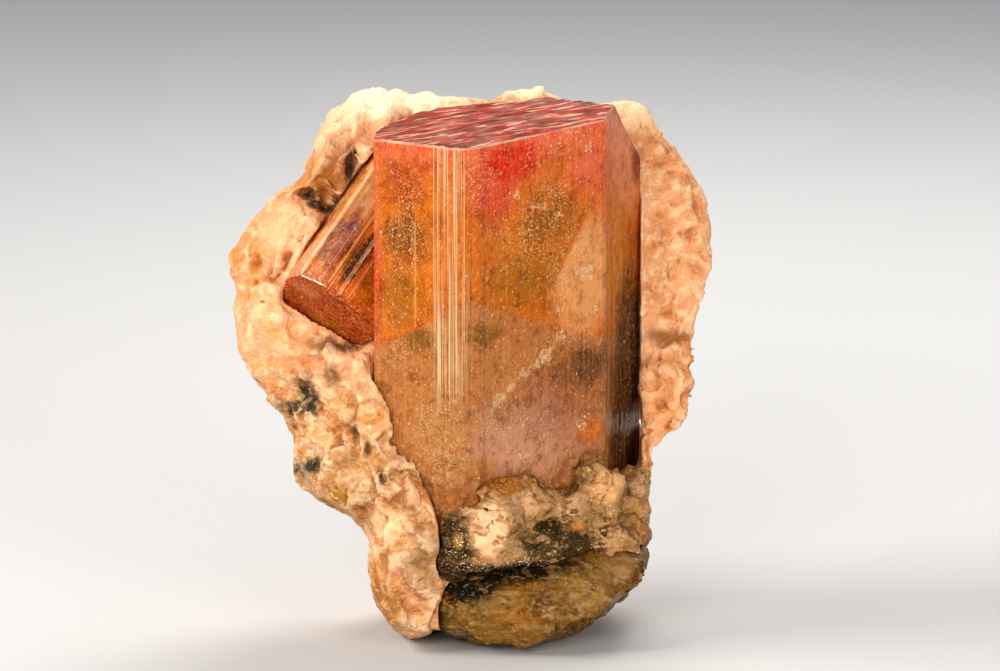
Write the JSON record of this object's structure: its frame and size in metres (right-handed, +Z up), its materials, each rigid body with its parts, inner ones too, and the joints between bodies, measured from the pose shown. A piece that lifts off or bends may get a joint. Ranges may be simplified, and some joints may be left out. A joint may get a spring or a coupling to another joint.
{
  "type": "tourmaline crystal specimen on feldspar",
  "caption": "Mineral specimen: a large zoned tourmaline prism and a smaller one set in a block of pale feldspar, free-standing on its own foot.",
  "frame": {"origin": "middle of the footprint of the specimen's bounding box, on the surface that it stands on", "axes": "+Z up along the specimen's height, -Y towards the viewer, +X to the viewer's right"},
  "size_m": [0.0608, 0.037, 0.0669],
  "materials": {
    "feldspar": "rough broken feldspar, cream and peach with brown stains",
    "main_elbaite": "clear to cloudy gem crystal, rose at the top, amber in the middle, mauve below",
    "side_elbaite": "clear gem crystal, orange with a pink-red end",
    "olive_quartz": "cloudy translucent, olive brown",
    "crust": "rough broken crust, white and pink with dark chips"
  },
  "bodies": {
    "root": {"feldspar_matrix": "feldspar", "main_crystal": "main_elbaite", "side_crystal": "side_elbaite", "quartz_foot": "olive_quartz", "pale_crust": "crust"}
  },
  "joints": []
}
